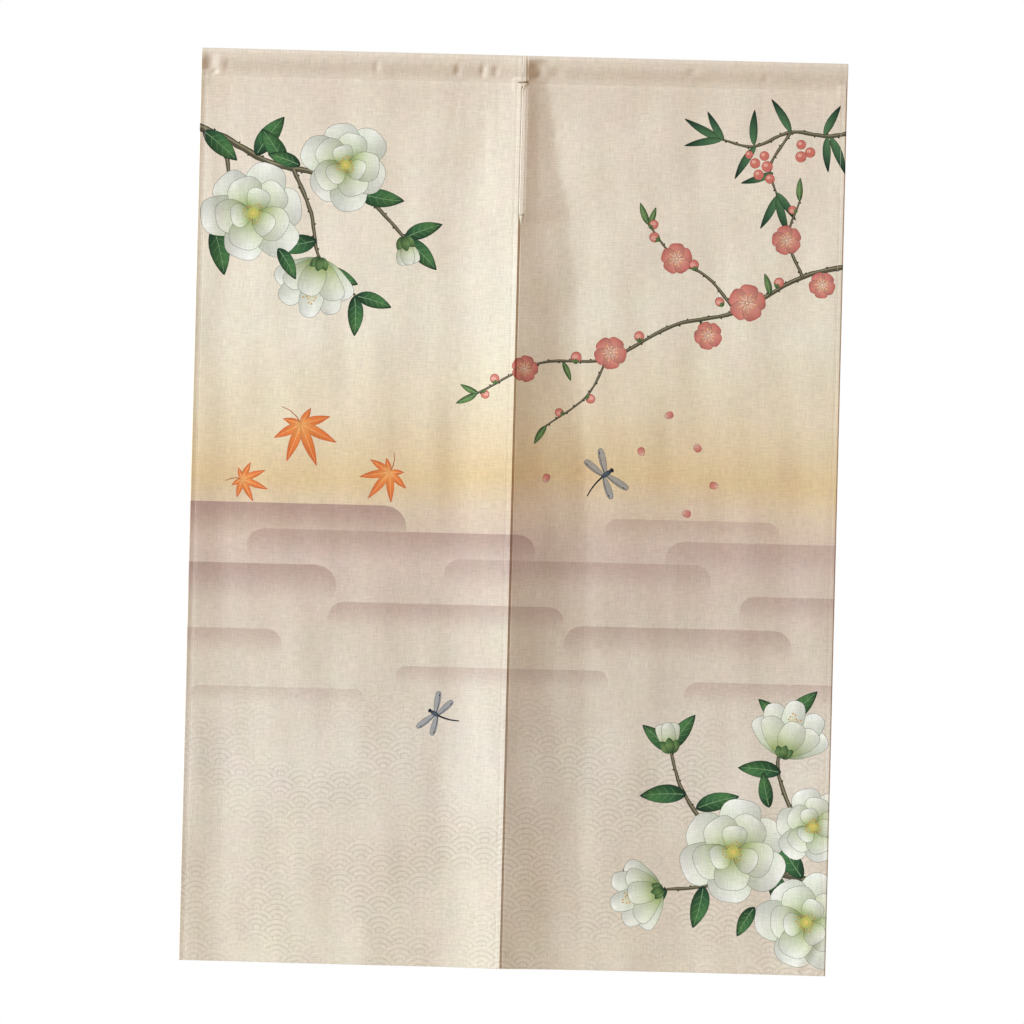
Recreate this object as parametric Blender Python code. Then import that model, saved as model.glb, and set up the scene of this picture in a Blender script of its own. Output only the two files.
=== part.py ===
# Two-panel noren curtain, hanging free from its empty rod pocket.
# Metres, +Z up. The printed front faces -Y and the origin is the middle of the top edge.
from collections import namedtuple
from math import ceil, cos, pi, sin

import bmesh
import bpy

# Finished size
CURTAIN_WIDTH = 0.850
CURTAIN_DROP = 1.200

# Cloth and its turned hems
CLOTH = 0.0012
HEM_CLOTH = 0.0021
SIDE_HEM = 0.008
BOTTOM_HEM = 0.018

# Rod pocket: round over the rod, then slack, then drawn together at the stitching
POCKET_DROP = 0.038
POCKET_DEPTH = 0.0134
POCKET_SLACK = 0.014
POCKET_SEAM = 0.003
SEAM_CLEAR = 0.00015
FACE = CLOTH + SEAM_CLEAR

# The left panel laps in front of the right one, sewn to it down to SEWN_DROP, free below
SPLIT_X = -0.003
LAP = 0.010
SEWN_DROP = 0.214
SEAT_GAP = 0.0003
SLIT_GAP_MIDDLE = 0.0022
SLIT_GAP_BOTTOM = 0.0026
SLIT_OPENS_OVER = 0.060

# The crease along the split stands forward, with a flank on each side; a share of it leans out
# over the panel's whole width
Crease = namedtuple("Crease", "drop forward left_reach right_reach")
CREASES = [
    Crease(0.000, 0.0045, 0.030, 0.024),
    Crease(0.214, 0.0090, 0.070, 0.050),
    Crease(0.380, 0.0150, 0.085, 0.082),
    Crease(0.650, 0.0195, 0.085, 0.104),
    Crease(1.200, 0.0195, 0.088, 0.106),
]
LEFT_CURVE = 1.7
RIGHT_CURVE = 1.35
LEFT_LEAN = 0.60
RIGHT_LEAN = 0.20

# Soft folds of the hanging cloth, from the pocket's stitching down to the bottom edge
Fold = namedtuple("Fold", "x_top x_bottom reach_top reach_bottom forward_top forward_bottom")
FOLDS = [
    Fold(-0.425, -0.425, 0.040, 0.062, 0.0008, 0.0042),
    Fold(-0.300, -0.262, 0.110, 0.150, 0.0005, 0.0020),
    Fold(-0.196, -0.172, 0.040, 0.070, 0.0006, 0.0012),
    Fold(-0.074, -0.070, 0.044, 0.056, -0.0006, -0.0013),
    Fold(0.118, 0.132, 0.060, 0.086, 0.0004, 0.0010),
    Fold(0.250, 0.238, 0.052, 0.096, -0.0008, -0.0014),
    Fold(0.432, 0.432, 0.070, 0.088, 0.0008, 0.0044),
]

# Puckers, where the front of the pocket is drawn in
Pucker = namedtuple("Pucker", "x drop reach dent")
PUCKERS = [
    Pucker(-0.415, 0.024, 0.012, 0.0009),
    Pucker(-0.394, 0.022, 0.009, 0.0008),
    Pucker(-0.196, 0.020, 0.010, 0.0009),
    Pucker(-0.085, 0.020, 0.010, 0.0008),
    Pucker(-0.054, 0.021, 0.009, 0.0009),
    Pucker(-0.034, 0.021, 0.008, 0.0007),
    Pucker(0.016, 0.019, 0.014, 0.0009),
    Pucker(0.222, 0.014, 0.014, 0.0006),
]
PUCKER_TALL = 0.015

# Fineness of the solids
PANEL_ROWS = 26
PANEL_STEP = 0.0165
CREASE_STEP = 0.007
CREASE_ZONE = 0.056
HEM_EDGE = 0.0006
POCKET_STEP = 0.0175
POCKET_GATHER = 1.35
CAP_STEPS = 4
WALL_STEPS = 6
SHARP_ANGLE = 0.7

# Cloth colours, linear
CREAM = (0.72, 0.63, 0.51)
SAND = (0.66, 0.56, 0.45)
WARM_CREAM = (0.68, 0.58, 0.46)
CLOTH_ROUGHNESS = 0.92


def clear_scene():
    for item in list(bpy.data.objects):
        bpy.data.objects.remove(item, do_unlink=True)


def blend(low, high, t):
    return low + (high - low) * t


def ease(t):
    t = min(max(t, 0.0), 1.0)
    return t * t * (3.0 - 2.0 * t)


def swell(offset, reach):
    if abs(offset) >= reach:
        return 0.0
    return 0.5 * (1.0 + cos(pi * offset / reach))


def spread(start, end, step):
    # Even places from start up to, but without, end
    count = ceil((end - start) / step)
    return [blend(start, end, k / count) for k in range(count)]


# Shape of the hanging cloth: how far it stands forward at a place x and a drop below the top
def crease_at(drop):
    for upper, lower in zip(CREASES, CREASES[1:]):
        if drop <= lower.drop:
            t = (drop - upper.drop) / (lower.drop - upper.drop)
            return Crease(*(blend(a, b, t) for a, b in zip(upper, lower)))
    return CREASES[-1]


def flank(distance, reach, curve, lean, width):
    steep = max(0.0, 1.0 - distance / reach) ** curve
    return blend(steep, 1.0 - distance / width, lean)


def slit_gap(drop):
    opened = ease((drop - SEWN_DROP) / SLIT_OPENS_OVER)
    lower = max(0.0, (drop - SEWN_DROP) / (CURTAIN_DROP - SEWN_DROP))
    return blend(SEAT_GAP, blend(SLIT_GAP_MIDDLE, SLIT_GAP_BOTTOM, lower), opened)


def left_crease(x, drop):
    crease = crease_at(drop)
    width = SPLIT_X + 0.5 * CURTAIN_WIDTH
    return crease.forward * flank(SPLIT_X - x, crease.left_reach, LEFT_CURVE, LEFT_LEAN, width)


def right_crease(x, drop):
    crease = crease_at(drop)
    behind = HEM_CLOTH + slit_gap(drop)
    if x < SPLIT_X:
        return left_crease(x, drop) - behind
    width = 0.5 * CURTAIN_WIDTH - SPLIT_X
    beside = flank(x - SPLIT_X, crease.right_reach, RIGHT_CURVE, RIGHT_LEAN, width)
    return (crease.forward - behind) * beside


def fold_forward(x, drop):
    t = drop / CURTAIN_DROP
    forward = 0.0
    for fold in FOLDS:
        offset = x - blend(fold.x_top, fold.x_bottom, t)
        reach = blend(fold.reach_top, fold.reach_bottom, t)
        forward += blend(fold.forward_top, fold.forward_bottom, t) * swell(offset, reach)
    return forward


# The two halves, each a panel with its heading
Half = namedtuple("Half", "name left right pocket_left pocket_right crease")
LEFT = Half(
    name="left",
    left=-0.5 * CURTAIN_WIDTH,
    right=SPLIT_X,
    pocket_left=-0.5 * CURTAIN_WIDTH,
    pocket_right=SPLIT_X - 0.5 * SEAT_GAP,
    crease=left_crease,
)
RIGHT = Half(
    name="right",
    left=SPLIT_X - LAP,
    right=0.5 * CURTAIN_WIDTH,
    pocket_left=SPLIT_X + 0.5 * SEAT_GAP,
    pocket_right=0.5 * CURTAIN_WIDTH,
    crease=right_crease,
)


# Panels
def cloth_at(half, x, drop):
    # Doubled where a hem is turned to the back
    from_side = min(x - half.left, half.right - x) - SIDE_HEM
    from_bottom = CURTAIN_DROP - drop - BOTTOM_HEM
    single = ease(0.5 + 0.5 * min(from_side, from_bottom) / HEM_EDGE)
    return blend(HEM_CLOTH, CLOTH, single)


def panel_columns(half):
    places = {half.left, half.right, SPLIT_X - CREASE_ZONE, SPLIT_X, SPLIT_X + CREASE_ZONE}
    for edge, inward in ((half.left, 1.0), (half.right, -1.0)):
        places.add(edge + inward * (SIDE_HEM - HEM_EDGE))
        places.add(edge + inward * (SIDE_HEM + HEM_EDGE))
    places = sorted(x for x in places if half.left <= x <= half.right)
    columns = []
    for start, end in zip(places, places[1:]):
        near_crease = abs(0.5 * (start + end) - SPLIT_X) < CREASE_ZONE
        columns += spread(start, end, CREASE_STEP if near_crease else PANEL_STEP)
    return columns + [half.right]


def panel_drops():
    top = POCKET_DROP + SEAT_GAP
    hem = CURTAIN_DROP - BOTTOM_HEM
    above = [blend(top, hem - HEM_EDGE, row / PANEL_ROWS) for row in range(PANEL_ROWS + 1)]
    return above + [hem + HEM_EDGE, CURTAIN_DROP]


def panel_mesh(half):
    bm = bmesh.new()
    front = []
    back = []
    for drop in panel_drops():
        front.append([])
        back.append([])
        for x in panel_columns(half):
            y = -(FACE + fold_forward(x, drop) + half.crease(x, drop))
            front[-1].append(bm.verts.new((x, y, -drop)))
            back[-1].append(bm.verts.new((x, y + cloth_at(half, x, drop), -drop)))
    for layer in (front, back):
        for upper, lower in zip(layer, layer[1:]):
            for c in range(len(upper) - 1):
                bm.faces.new((upper[c], lower[c], lower[c + 1], upper[c + 1]))
    for rim_front, rim_back in zip(sheet_rims(front), sheet_rims(back)):
        for c in range(len(rim_front) - 1):
            bm.faces.new((rim_front[c], rim_front[c + 1], rim_back[c + 1], rim_back[c]))
    return bm


def sheet_rims(layer):
    first_column = [row[0] for row in layer]
    last_column = [row[-1] for row in layer]
    return layer[0], layer[-1], first_column, last_column


# Headings
def pocket_half_gap(drop):
    drawn = ease((drop - POCKET_SLACK) / (POCKET_DROP - POCKET_SEAM - POCKET_SLACK))
    return blend(0.5 * POCKET_DEPTH - CLOTH, SEAM_CLEAR, drawn)


def pocket_wall():
    # Pairs of an inside and an outside point, as (half width, drop), from the top down one wall
    outer = 0.5 * POCKET_DEPTH
    inner = outer - CLOTH
    pairs = []
    for step in range(1, CAP_STEPS + 1):
        turn = 0.5 * pi * step / CAP_STEPS
        inside = (inner * sin(turn), outer - inner * cos(turn))
        outside = (outer * sin(turn), outer - outer * cos(turn))
        pairs.append((inside, outside))
    for step in range(1, WALL_STEPS + 1):
        drop = blend(outer, POCKET_DROP - POCKET_SEAM, step / WALL_STEPS)
        half_gap = pocket_half_gap(drop)
        pairs.append(((half_gap, drop), (half_gap + CLOTH, drop)))
    # The last outside point lies at the foot of the stitching
    pairs[-1] = (pairs[-1][0], (FACE, POCKET_DROP))
    return pairs


def pucker_dent(x, drop):
    return sum(p.dent * swell(x - p.x, p.reach) * swell(drop - p.drop, PUCKER_TALL) for p in PUCKERS)


def wall_forward(half, x, drop, is_front):
    # Both walls meet the panel below; only the front follows the crease and puckers to the top
    t = drop / POCKET_DROP
    folds = fold_forward(x, POCKET_DROP) * ease(t)
    crease = half.crease(x, drop)
    if is_front:
        return folds + crease * ease(drop / (0.5 * POCKET_DEPTH)) - pucker_dent(x, drop)
    return folds + crease * ease(2.0 * t - 1.0)


def pocket_ring(bm, half, x):
    inside = [bm.verts.new((x, 0.0, -CLOTH))]
    outside = [bm.verts.new((x, 0.0, 0.0))]
    wall = pocket_wall()
    for side, pairs in ((-1.0, wall), (1.0, wall[::-1])):
        for pair in pairs:
            for loop, (half_width, drop) in zip((inside, outside), pair):
                y = side * half_width - wall_forward(half, x, drop, side < 0.0)
                loop.append(bm.verts.new((x, y, -drop)))
    return inside, outside


def pocket_columns(half):
    # Closer together toward the split, where the crease and most puckers are
    near, far = sorted((half.pocket_left, half.pocket_right), key=abs)
    steps = ceil(abs(far - near) / POCKET_STEP)
    return [blend(near, far, (step / steps) ** POCKET_GATHER) for step in range(steps + 1)]


def heading_mesh(half):
    bm = bmesh.new()
    rings = [pocket_ring(bm, half, x) for x in pocket_columns(half)]
    count = len(rings[0][0])
    for ring, after in zip(rings, rings[1:]):
        for loop, next_loop in zip(ring, after):
            for k in range(count):
                n = (k + 1) % count
                bm.faces.new((loop[k], loop[n], next_loop[n], next_loop[k]))
    for inside, outside in (rings[0], rings[-1]):
        for k in range(count):
            n = (k + 1) % count
            bm.faces.new((outside[k], inside[k], inside[n], outside[n]))
    return bm


def cloth_material(name, color):
    material = bpy.data.materials.new(name)
    material.use_nodes = True
    shader = material.node_tree.nodes["Principled BSDF"]
    shader.inputs["Base Color"].default_value = (*color, 1.0)
    shader.inputs["Roughness"].default_value = CLOTH_ROUGHNESS
    shader.inputs["Metallic"].default_value = 0.0
    return material


def add_node(name, bm, color):
    bmesh.ops.recalc_face_normals(bm, faces=bm.faces)
    mesh = bpy.data.meshes.new(name)
    bm.to_mesh(mesh)
    bm.free()
    mesh.shade_smooth()
    mesh.set_sharp_from_angle(angle=SHARP_ANGLE)
    mesh.materials.append(cloth_material(name + "_cloth", color))
    bpy.context.scene.collection.objects.link(bpy.data.objects.new(name, mesh))


def build():
    clear_scene()
    for half, panel_color in ((LEFT, CREAM), (RIGHT, SAND)):
        add_node(half.name + "_panel", panel_mesh(half), panel_color)
        add_node(half.name + "_heading", heading_mesh(half), WARM_CREAM)


build()
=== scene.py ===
from math import cos, pi, radians, sin

import bpy
import numpy as np
from mathutils import Matrix, Vector
from mathutils.geometry import delaunay_2d_cdt


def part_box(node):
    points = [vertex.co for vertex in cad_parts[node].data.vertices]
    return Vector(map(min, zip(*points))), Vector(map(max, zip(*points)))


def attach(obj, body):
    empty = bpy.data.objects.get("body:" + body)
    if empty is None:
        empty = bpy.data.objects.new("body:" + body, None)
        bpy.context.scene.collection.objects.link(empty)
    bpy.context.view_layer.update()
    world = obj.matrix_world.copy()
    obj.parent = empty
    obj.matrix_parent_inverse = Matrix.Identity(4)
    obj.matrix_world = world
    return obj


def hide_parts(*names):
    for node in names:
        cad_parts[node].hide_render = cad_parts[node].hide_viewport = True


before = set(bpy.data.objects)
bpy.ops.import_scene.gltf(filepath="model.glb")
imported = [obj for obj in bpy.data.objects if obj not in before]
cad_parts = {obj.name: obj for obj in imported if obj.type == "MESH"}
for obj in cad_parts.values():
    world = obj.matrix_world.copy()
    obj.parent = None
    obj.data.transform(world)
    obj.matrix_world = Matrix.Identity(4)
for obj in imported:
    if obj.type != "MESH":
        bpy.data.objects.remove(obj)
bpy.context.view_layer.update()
print("stage: frame loaded")

# Sizes read from the frame, in metres
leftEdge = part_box("left_panel")[0][0]
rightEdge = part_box("right_panel")[1][0]
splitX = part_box("left_panel")[1][0]
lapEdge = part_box("right_panel")[0][0]
curtainDrop = -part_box("left_panel")[0][2]
pocketDrop = -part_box("left_heading")[0][2]
millimetre = 0.001

# The cloth itself; the rod pocket is round over the rod, slack, then drawn to its stitching
cloth = {
    "thickness": 0.0005,
    "bendRadius": 0.00035,
    "sideHem": 0.008,
    "bottomHem": 0.018,
    "pocketDepth": 0.0134,
    "pocketSlack": 0.011,
    "pocketSeam": 0.003,
    "seamHalf": 0.00035,
    # half depth of the four layers where the hems cross the pocket's stitching, and how far it eases
    "hemPile": 0.00105,
    "pileReach": (0.010, 0.018),
    "flapBelowSeam": 0.0022,
    # rows of stitching: in from the edge of each hem, and up from the foot of the pocket
    "sideStitchIn": 0.001,
    "bottomStitchIn": 0.0024,
    "pocketStitchUp": 0.0016,
    # depth and reach of the dimple that each row draws in
    "hemDimples": (0.00012, 0.0022, 0.0024),
    "pocketDimple": (0.0003, 0.0026),
    "gridStep": 0.0056,
    "headingStep": 0.0036,
}

# How the curtain hangs, in metres: the creases and folds of its solids, a little fuller at the split
hang = {
    "sewnDrop": 0.214,
    "hemBehind": 0.0014,
    "slitGap": 0.0001,
    # share, start and reach: how the right half swells forward again beside the split
    "sewnSwell": (1.15, -0.0001, 0.0010),
    "openSwell": (0.60, 0.0008, 0.0030),
    "slitOpensOver": 0.060,
    "flankCurve": (1.7, 1.35),
    "lean": (0.60, 0.20),
    # drop, forward, leftReach, rightReach
    "splitCrease": [
        (0.000, 0.0045, 0.030, 0.024), (0.150, 0.0090, 0.058, 0.046), (0.214, 0.0122, 0.072, 0.064),
        (0.300, 0.0158, 0.080, 0.080), (0.380, 0.0169, 0.085, 0.084), (0.650, 0.0195, 0.085, 0.104),
        (1.200, 0.0195, 0.088, 0.106),
    ],
    # xTop, xBottom, reachTop, reachBottom, forwardTop, forwardBottom
    "folds": [
        (-0.425, -0.425, 0.040, 0.062, 0.0008, 0.0042), (-0.300, -0.262, 0.110, 0.150, 0.0005, 0.0020),
        (-0.196, -0.172, 0.040, 0.070, 0.0006, 0.0012),
        (-0.074, -0.070, 0.044, 0.056, -0.0006, -0.0013), (0.118, 0.132, 0.060, 0.086, 0.0004, 0.0010),
        (0.250, 0.238, 0.052, 0.096, -0.0008, -0.0014), (0.432, 0.432, 0.070, 0.088, 0.0008, 0.0044),
    ],
    # x, drop, reachAcross, reachDown, dent
    "puckers": [
        (-0.413, 0.020, 0.014, 0.019, 0.0022), (-0.408, 0.031, 0.007, 0.005, 0.0010),
        (-0.390, 0.022, 0.008, 0.011, 0.0006), (-0.196, 0.020, 0.006, 0.012, 0.0008),
        (-0.086, 0.021, 0.006, 0.012, 0.0015), (-0.055, 0.022, 0.008, 0.013, 0.0013),
        (-0.036, 0.021, 0.006, 0.011, 0.0009), (0.016, 0.021, 0.015, 0.016, 0.0021),
        (0.042, 0.022, 0.014, 0.013, 0.0008), (0.222, 0.016, 0.011, 0.009, 0.0007),
        (0.318, 0.022, 0.009, 0.011, 0.0005),
    ],
    # x0, drop0, x1, drop1, reachAcross, forward: soft creases placed one by one
    "creases": [
        (-0.086, 0.036, -0.100, 0.150, 0.010, -0.00018),
        (-0.055, 0.036, -0.047, 0.170, 0.009, -0.00020),
        (-0.034, 0.036, -0.030, 0.110, 0.007, -0.00016),
        (-0.196, 0.036, -0.205, 0.140, 0.011, -0.00014),
        (-0.392, 0.036, -0.352, 0.240, 0.016, -0.00024), (-0.414, 0.044, -0.398, 0.330, 0.010, 0.00022),
        (0.222, 0.030, 0.236, 0.180, 0.016, -0.00017), (0.318, 0.034, 0.305, 0.150, 0.014, -0.00015),
        (0.016, 0.036, 0.024, 0.200, 0.012, -0.00022), (0.392, 1.202, 0.424, 1.150, 0.009, -0.00070),
        (0.384, 1.190, 0.410, 1.150, 0.010, 0.00045), (-0.300, 0.620, -0.235, 1.090, 0.030, 0.00028),
        (-0.130, 0.300, -0.112, 0.930, 0.024, -0.00024), (0.060, 0.420, 0.100, 1.060, 0.030, 0.00024),
        (0.196, 0.250, 0.203, 0.980, 0.018, -0.00018), (0.300, 0.560, 0.330, 1.170, 0.030, 0.00024),
    ],
    # waveAcross, waveDown, height, phase: the cloth is never quite flat
    "ripples": [
        (0.093, 0.370, 0.00021, 0.4), (0.057, -0.240, 0.00011, 2.1), (0.310, 0.115, 0.00022, 4.0),
        (-0.210, 0.064, 0.00010, 1.3),
    ],
    # the second row of the join makes a narrow groove beside the split
    "joinBand": 0.0070,
    "joinGroove": {"offset": 0.0070, "reach": 0.0018, "depth": 0.0003},
    # x of the edge, reach, forward: how each outer side hem curls
    "sideCurls": [(-0.425, 0.0055, 0.0007), (0.425, 0.0020, -0.0007)],
}


def blend(low, high, t):
    return low + (high - low) * t


def ease(t):
    t = np.clip(t, 0.0, 1.0)
    return t * t * (3.0 - 2.0 * t)


def swell(offset, reach):
    return 0.5 * (1.0 + np.cos(pi * np.clip(offset / reach, -1.0, 1.0)))


# Profile of the cloth from the crown of the pocket down: half width and drop by length of cloth
def pocketProfile():
    outer = 0.5 * cloth["pocketDepth"]
    radius = outer - 0.5 * cloth["thickness"]
    turn = np.linspace(0.0, 0.5 * pi, 25)
    cap = np.column_stack((radius * np.sin(turn), outer - radius * np.cos(turn)))
    drop = np.concatenate((np.linspace(outer, pocketDrop, 60)[1:], [curtainDrop]))
    sewnFrom = pocketDrop - cloth["pocketSeam"]
    drawn = ease((drop - cloth["pocketSlack"]) / (sewnFrom - cloth["pocketSlack"]))
    wall = np.column_stack((blend(radius, cloth["seamHalf"], drawn), drop))
    points = np.vstack((cap, wall))
    length = np.concatenate(([0.0], np.cumsum(np.linalg.norm(np.diff(points, axis=0), axis=1))))
    return length, points[:, 0], points[:, 1]


profileLength, profileWidth, profileDrop = pocketProfile()
seamLength = float(np.interp(pocketDrop, profileDrop, profileLength))
pocketSlackCloth = seamLength - pocketDrop  # the cloth over the pocket is this much longer than its drop


def flank(distance, reach, width, side):
    # Steep by the split, with a share of it leaning over the whole panel
    steep = np.clip(1.0 - distance / reach, 0.0, None) ** hang["flankCurve"][side]
    return blend(steep, 1.0 - distance / width, hang["lean"][side])


def splitForward(x, drop, isRight):
    rows = np.array(hang["splitCrease"])
    forward, leftReach, rightReach = (np.interp(drop, rows[:, 0], rows[:, k]) for k in (1, 2, 3))
    opened = ease((drop - hang["sewnDrop"]) / hang["slitOpensOver"])
    lower = np.clip((drop - hang["sewnDrop"]) / (curtainDrop - hang["sewnDrop"]), 0.0, 1.0)
    behind = hang["hemBehind"] + hang["slitGap"] * lower * opened
    leftFlank = flank(splitX - x, leftReach, splitX - leftEdge, 0)
    sewnHere = 1.0 - ease((drop - hang["sewnDrop"] + 0.010) / 0.020)
    band = hang["joinBand"] * sewnHere
    rightFlank = flank(np.maximum(x - splitX - band, 0.0), rightReach, rightEdge - splitX, 1)
    # Where the join is sewn, the left half's edge is drawn in beside a slightly proud band of the right
    # one; below it the right half swells forward once it is clear of that edge
    openSwell, sewnSwell = (
        share * ease((x - splitX - start) / reach)
        for share, start, reach in (hang["openSwell"], hang["sewnSwell"])
    )
    behind = behind * (1.0 - blend(openSwell, sewnSwell, sewnHere))
    if not isRight:
        return forward * leftFlank
    return np.where(x < splitX, forward * leftFlank - behind, (forward - behind) * rightFlank)


def foldForward(x, drop):
    t = drop / curtainDrop
    forward = np.zeros_like(x)
    for xTop, xBottom, reachTop, reachBottom, forwardTop, forwardBottom in hang["folds"]:
        offset = x - blend(xTop, xBottom, t)
        forward += blend(forwardTop, forwardBottom, t) * swell(offset, blend(reachTop, reachBottom, t))
    return forward


def creaseForward(x, drop):
    forward = np.zeros_like(x)
    for x0, drop0, x1, drop1, reach, height in hang["creases"]:
        run = np.array((x1 - x0, drop1 - drop0))
        size = np.linalg.norm(run)
        t = ((x - x0) * run[0] + (drop - drop0) * run[1]) / size**2
        across = ((x - x0) * run[1] - (drop - drop0) * run[0]) / size
        fade = np.clip(1.0 - (2.0 * t - 1.0) ** 4, 0.0, 1.0)
        forward += height * fade * swell(across, reach)
    for edge, reach, height in hang["sideCurls"]:
        forward += height * (1.0 - ease(np.abs(x - edge) / reach))
    fromSeam = ease((drop - pocketDrop) / 0.06)
    for waveAcross, waveDown, height, phase in hang["ripples"]:
        forward += height * fromSeam * np.sin(2.0 * pi * (x / waveAcross + drop / waveDown) + phase)
    return forward


def seamDimples(x, drop, half):
    # Sewing draws the cloth in along the hems, the pocket and the join
    side = np.minimum(x - half["left"], half["right"] - x) - cloth["sideHem"] + cloth["sideStitchIn"]
    bottom = curtainDrop - drop - cloth["bottomHem"] + 0.0015
    depth, sideReach, bottomReach = cloth["hemDimples"]
    dimple = depth * np.maximum(swell(side, sideReach), swell(bottom, bottomReach))
    depth, reach = cloth["pocketDimple"]
    dimple += depth * swell(drop - pocketDrop + 0.0015, reach)
    if half["isRight"]:
        groove = hang["joinGroove"]
        sewn = 1.0 - ease((drop - hang["sewnDrop"]) / 0.006)
        dimple += groove["depth"] * sewn * swell(x - splitX - groove["offset"], groove["reach"])
    return dimple


# Over the pocket the lap is taken in between these places, so that the two pockets meet end to end
takenIn = (splitX + 0.0004, splitX + 0.016)


def clothMiddle(x, along, half):
    # along is the length of cloth from the crown: down the front above zero, down the back below it
    drop = np.interp(np.abs(along), profileLength, profileDrop)
    width = np.interp(np.abs(along), profileLength, profileWidth)
    acrossReach, downReach = cloth["pileReach"]
    hemmed = np.minimum(x - half["left"], half["right"] - x) - cloth["sideHem"]
    piled = 1.0 - ease((np.abs(drop - pocketDrop) - cloth["pocketSeam"]) / downReach)
    width = np.maximum(width, cloth["hemPile"] * (1.0 - ease(hemmed / acrossReach)) * piled)
    if half["isRight"]:
        start, reach = takenIn
        taken = np.where(x < reach, blend(start, reach, (x - lapEdge) / (reach - lapEdge)), x)
        x = blend(taken, x, ease((drop - pocketDrop) / 0.006))
    t = drop / pocketDrop
    folds = foldForward(x, np.maximum(drop, pocketDrop)) * ease(t)
    crease = splitForward(x, drop, half["isRight"])
    front = folds + crease * ease(drop / (0.5 * cloth["pocketDepth"]))
    front += creaseForward(x, drop) * ease(2.0 * t - 1.0) - seamDimples(x, drop, half)
    for px, pDrop, across, down, dent in hang["puckers"]:
        front -= dent * swell(x - px, across) * swell(drop - pDrop, down)
    back = folds + crease * ease(2.0 * t - 1.0)
    y = np.where(along >= 0.0, -width - front, width - back)
    return np.stack((x, y, -drop), axis=-1)


def turnUnder(q, low, high):
    # A flat coordinate past either edge is turned back, with the height that the turn gives it
    radius = cloth["bendRadius"]
    place = q.copy()
    height = np.zeros_like(q)
    for sign, edge in ((1.0, high), (-1.0, low)):
        over = sign * (q - edge)
        turn = np.clip(over / radius, 0.0, pi)
        turned = edge + sign * (radius * np.sin(turn) - np.maximum(over - pi * radius, 0.0))
        place = np.where(over > 0.0, turned, place)
        height = np.where(over > 0.0, radius * (1.0 - np.cos(turn)), height)
    return place, height


def clothNormal(place, u, v, half):
    # Out of the printed side, from small steps on the surface
    step = 0.00004
    alongU = place(u + step, v, half) - place(u - step, v, half)
    alongV = place(u, v + step, half) - place(u, v - step, half)
    normal = np.cross(alongV, alongU)
    return normal / np.maximum(np.linalg.norm(normal, axis=-1, keepdims=True), 1e-12)


def clothPlace(u, v, half):
    # The middle of the cloth at flat place u across and v down, hems turned to the back
    x, sideHeight = turnUnder(u, half["turnLeft"], half["turnRight"])
    along, bottomHeight = turnUnder(v, -1.0, half["turnBottom"])
    middle = clothMiddle(x, along, half)
    height = (sideHeight + bottomHeight)[..., None]
    return middle - height * clothNormal(clothMiddle, x, along, half)


def makeHalf(name, left, right, isRight):
    inset = cloth["bendRadius"] + 0.5 * cloth["thickness"]
    turn = pi * cloth["bendRadius"]
    half = {"name": name, "left": left, "right": right, "isRight": isRight}
    half["turnLeft"] = left + inset
    half["turnRight"] = right - inset
    half["turnBottom"] = float(np.interp(curtainDrop - inset, profileDrop, profileLength))
    half["flatLeft"] = half["turnLeft"] - turn - cloth["sideHem"] + inset
    half["flatRight"] = half["turnRight"] + turn + cloth["sideHem"] - inset
    half["flatTop"] = -(seamLength + cloth["flapBelowSeam"])
    half["flatBottom"] = half["turnBottom"] + turn + cloth["bottomHem"] - inset
    return half


halves = [makeHalf("left", leftEdge, splitX, False), makeHalf("right", lapEdge, rightEdge, True)]


# Colours are sRGB hex values, turned to linear here
def linear(hexColor):
    srgb = np.array([int(hexColor[k : k + 2], 16) for k in (1, 3, 5)]) / 255.0
    return np.where(srgb <= 0.04045, srgb / 12.92, ((srgb + 0.055) / 1.055) ** 2.4)


# The print, in millimetres: x across from the middle, v down from the top edge of the curtain
ground = {
    # v, colour: a brush-dyed ground, cream, then amber, mauve and pale sand
    "bands": [
        (-60, "#dfd0bf"), (40, "#e5d7c5"), (110, "#eaddcc"), (360, "#eae0cd"), (470, "#e6d6ba"),
        (556, "#dfc498"), (600, "#dbc6ae"), (655, "#d2bdb0"), (770, "#d8cab9"), (930, "#dfd4c5"),
        (1060, "#dccfbe"), (1230, "#dfd3c0"),
    ],
    # height, length and start of a slow wave along each band, in millimetres and radians
    "sway": (9.0, 128.0, 0.6),
}


def ramp(rows):
    # Colours between the stops of a table of places and hex colours
    stops = np.array([row[0] for row in rows], dtype=float)
    colors = np.array([linear(row[1]) for row in rows])
    return lambda t: np.column_stack([np.interp(t, stops, colors[:, k]) for k in range(3)])


groundRamp = ramp(ground["bands"])


def groundPaint(p):
    height, length, start = ground["sway"]
    return groundRamp(p[:, 1] + height * np.sin(p[:, 0] / length + start))


marks = []  # outline and paint of each printed mark, the later ones over the earlier


def addMark(outline, paint):
    # paint is a hex colour, or a function that gives the colours at places
    if isinstance(paint, str):
        color = linear(paint)
        marks.append((outline, lambda p: np.repeat(color[None, :], len(p), axis=0)))
    else:
        marks.append((outline, paint))


def draw(add, *rows, **options):
    # Each row starts with x and v
    for x, v, *rest in rows:
        add(np.array((x, v), dtype=float), *rest, **options)


def direction(angle):
    return np.array((cos(radians(angle)), -sin(radians(angle))))


# A blade is a leaf, petal or lobe; shape holds the powers that round its root and its tip
bladeLook = {"ruffle": 0.0, "steps": 12, "rimWidth": 0.5, "veins": ()}


def makeBlade(base, angle, length, width, bend, look):
    return {**look, "base": base, "angle": angle, "length": length, "width": width, "bend": bend}


def bladeHalf(blade, t):
    # Half width at t from root 0 to tip 1
    root, tip = blade["shape"]
    peak = root / (root + tip)
    swellTo = (peak**root) * ((1.0 - peak) ** tip)
    half = np.clip(t, 0.0, 1.0) ** root * np.clip(1.0 - t, 0.0, 1.0) ** tip / swellTo
    return 0.5 * blade["width"] * half * (1.0 + blade["ruffle"] * np.sin(blade["length"] + 9.0 * t))


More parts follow.
